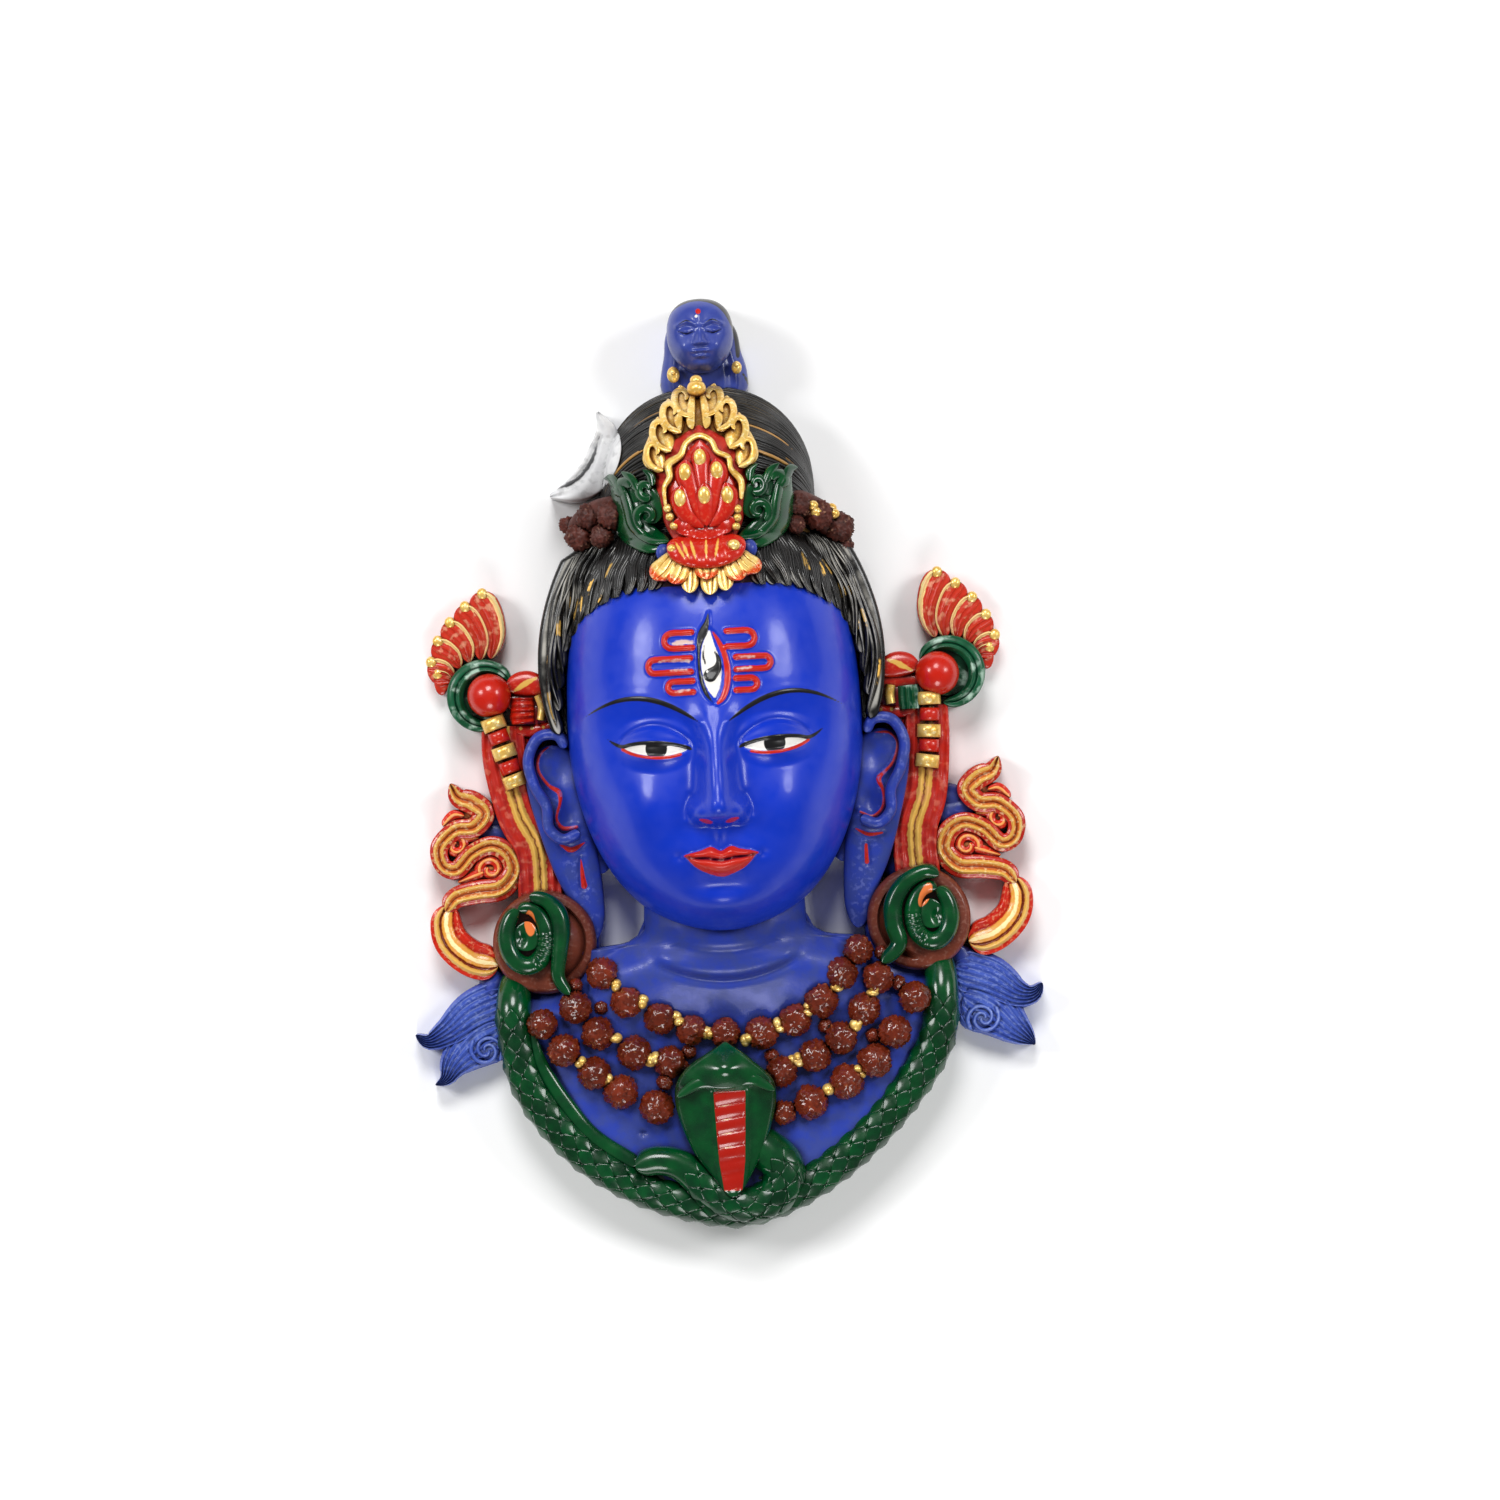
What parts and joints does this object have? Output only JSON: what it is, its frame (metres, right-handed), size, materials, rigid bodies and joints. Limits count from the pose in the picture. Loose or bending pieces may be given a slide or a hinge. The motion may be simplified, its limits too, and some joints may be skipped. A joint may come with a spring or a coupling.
{
  "type": "deity mask",
  "caption": "Cast and hand-painted resin wall mask of a calm blue Hindu deity with a third eye, a topknot, a bead collar and a snake; lies face up on its flat back.",
  "frame": {"origin": "middle of the flat back, on the surface the mask lies on", "axes": "+X to the right of the mask as seen, +Y from the snake at its foot to the small head at its top, +Z out of the face"},
  "size_m": [0.2084, 0.305, 0.0756],
  "materials": {
    "blue_paint": "glossy ultramarine paint on cast resin",
    "black_paint": "satin black paint with a grey dry brush, on cast resin",
    "gold_paint": "satin gold paint over brown, on cast resin",
    "red_paint": "glossy vermilion paint on cast resin",
    "green_paint": "glossy bottle green paint on cast resin",
    "brown_paint": "glossy red-brown paint on cast resin",
    "white_paint": "satin white paint with grey brush marks, on cast resin"
  },
  "bodies": {
    "root": {"mask": "blue_paint"}
  },
  "joints": []
}
